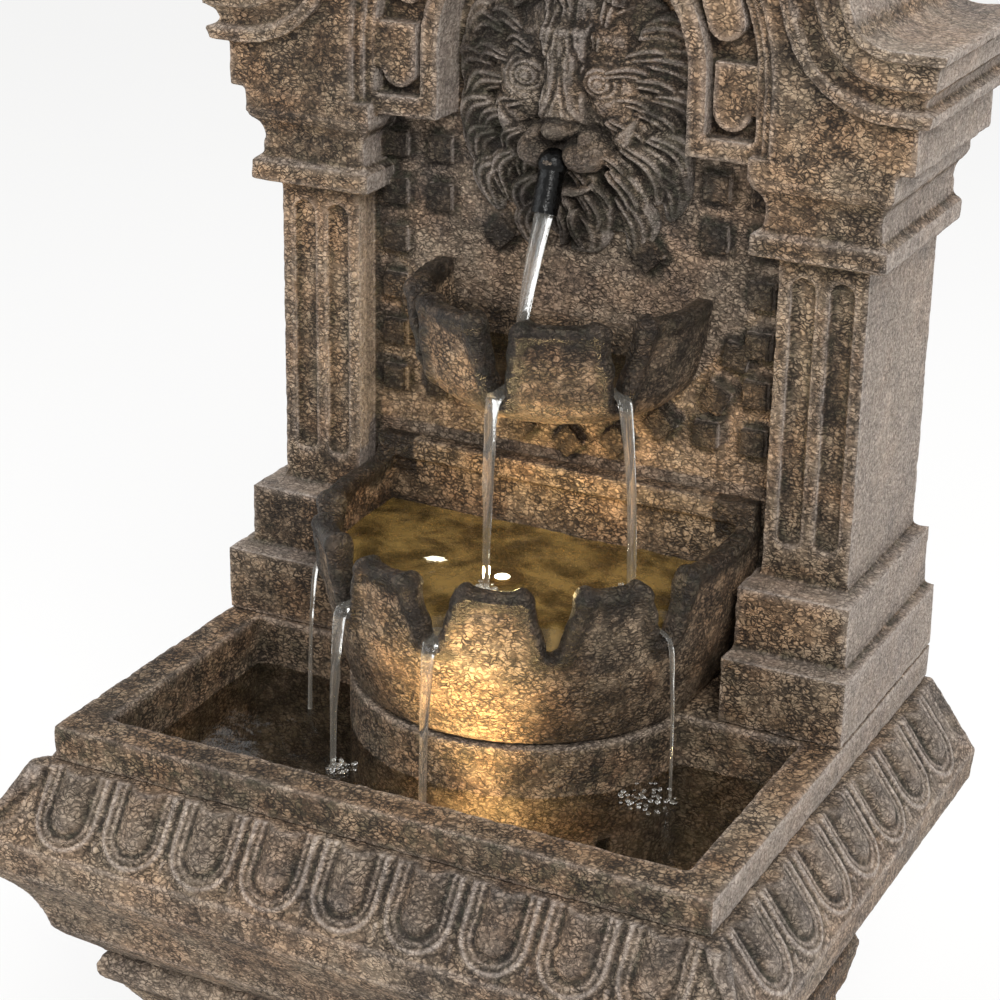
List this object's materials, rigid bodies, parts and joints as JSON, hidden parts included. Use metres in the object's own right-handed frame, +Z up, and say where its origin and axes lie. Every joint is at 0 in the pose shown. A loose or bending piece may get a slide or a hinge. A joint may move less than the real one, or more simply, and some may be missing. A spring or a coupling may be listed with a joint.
{
  "type": "statue fountain",
  "caption": "Freestanding garden fountain: a lion mask spouts water into two notched half-round bowls under an arched niche, above an open basin on a moulded pedestal.",
  "frame": {"origin": "on the ground, under the middle of the whole object's box", "axes": "+Z up; +Y towards the flat back; the basin's front and the lion face -Y; +X to the viewer's right when looking at the lion"},
  "size_m": [0.526, 0.423, 1.024],
  "materials": {
    "cast_stone": "weathered, crackled, sand-coloured cast resin with dark washes",
    "patina_stone": "dark patina over cast resin",
    "black_plastic": "moulded, satin",
    "clear_hose": "soft clear hose, slightly cloudy",
    "clip_steel": "stainless strip and wire",
    "rotor_blue": "moulded rotor and vanes",
    "ceramic": "ground ceramic",
    "grey_rubber": "soft moulded feet",
    "black_rubber": "moulded jacket",
    "lamp_lens": "moulded lens, warm",
    "lamp_board": "white solder mask with light chips"
  },
  "bodies": {
    "fountain": {"pedestal_casting": "cast_stone", "base_casting": "cast_stone", "basin_tub": "cast_stone", "wall_casting": "cast_stone", "rear_panel": "cast_stone", "middle_bowl": "cast_stone", "upper_bowl": "cast_stone", "lion_mask": "patina_stone", "spout_nozzle": "black_plastic", "spout_locknut": "black_plastic", "riser_hose": "clear_hose", "hose_clamps": "clip_steel", "pump_housing": "black_plastic", "pump_outlet": "black_plastic", "impeller_shaft": "ceramic", "suction_cups": "grey_rubber", "bowl_lamp_housing": "black_plastic", "bowl_lamp_lens": "lamp_lens", "bowl_lamp_board": "lamp_board", "bowl_lamp_grommet": "black_rubber", "pool_lamp_housing": "black_plastic", "pool_lamp_lens": "lamp_lens", "pool_lamp_board": "lamp_board", "splice_box": "black_plastic", "pump_lead": "black_rubber", "bowl_lamp_lead": "black_rubber", "pool_lamp_lead": "black_rubber", "cord_grommet": "black_rubber", "door_pins": "clip_steel"},
    "pump_inlet": {"pump_cover": "black_plastic"},
    "flow_gate": {"flow_slider": "black_plastic"},
    "rotor": {"impeller": "rotor_blue"},
    "door": {"access_door": "cast_stone"},
    "turn_knob": {"door_knob": "black_plastic", "door_cam": "clip_steel"}
  },
  "joints": [
    {"name": "inlet_slide", "type": "slide", "parent": "fountain", "child": "pump_inlet", "axis": [-1, 0, 0], "range_m": [0, 0.025]},
    {"name": "flow_slide", "type": "slide", "parent": "pump_inlet", "child": "flow_gate", "axis": [0, 0, 1], "range_m": [0, 0.006]},
    {"name": "impeller_spin", "type": "hinge", "parent": "fountain", "child": "rotor", "pos_m": [0, 0.1575, 0.351], "axis": [1, 0, 0], "continuous": true},
    {"name": "door_hinge", "type": "hinge", "parent": "fountain", "child": "door", "pos_m": [-0.069, 0.2065, 0.523], "axis": [0, 0, 1], "range_deg": [0, 95]},
    {"name": "knob_turn", "type": "hinge", "parent": "door", "child": "turn_knob", "pos_m": [0.056, 0.2065, 0.523], "axis": [0, -1, 0], "range_deg": [0, 90]}
  ]
}
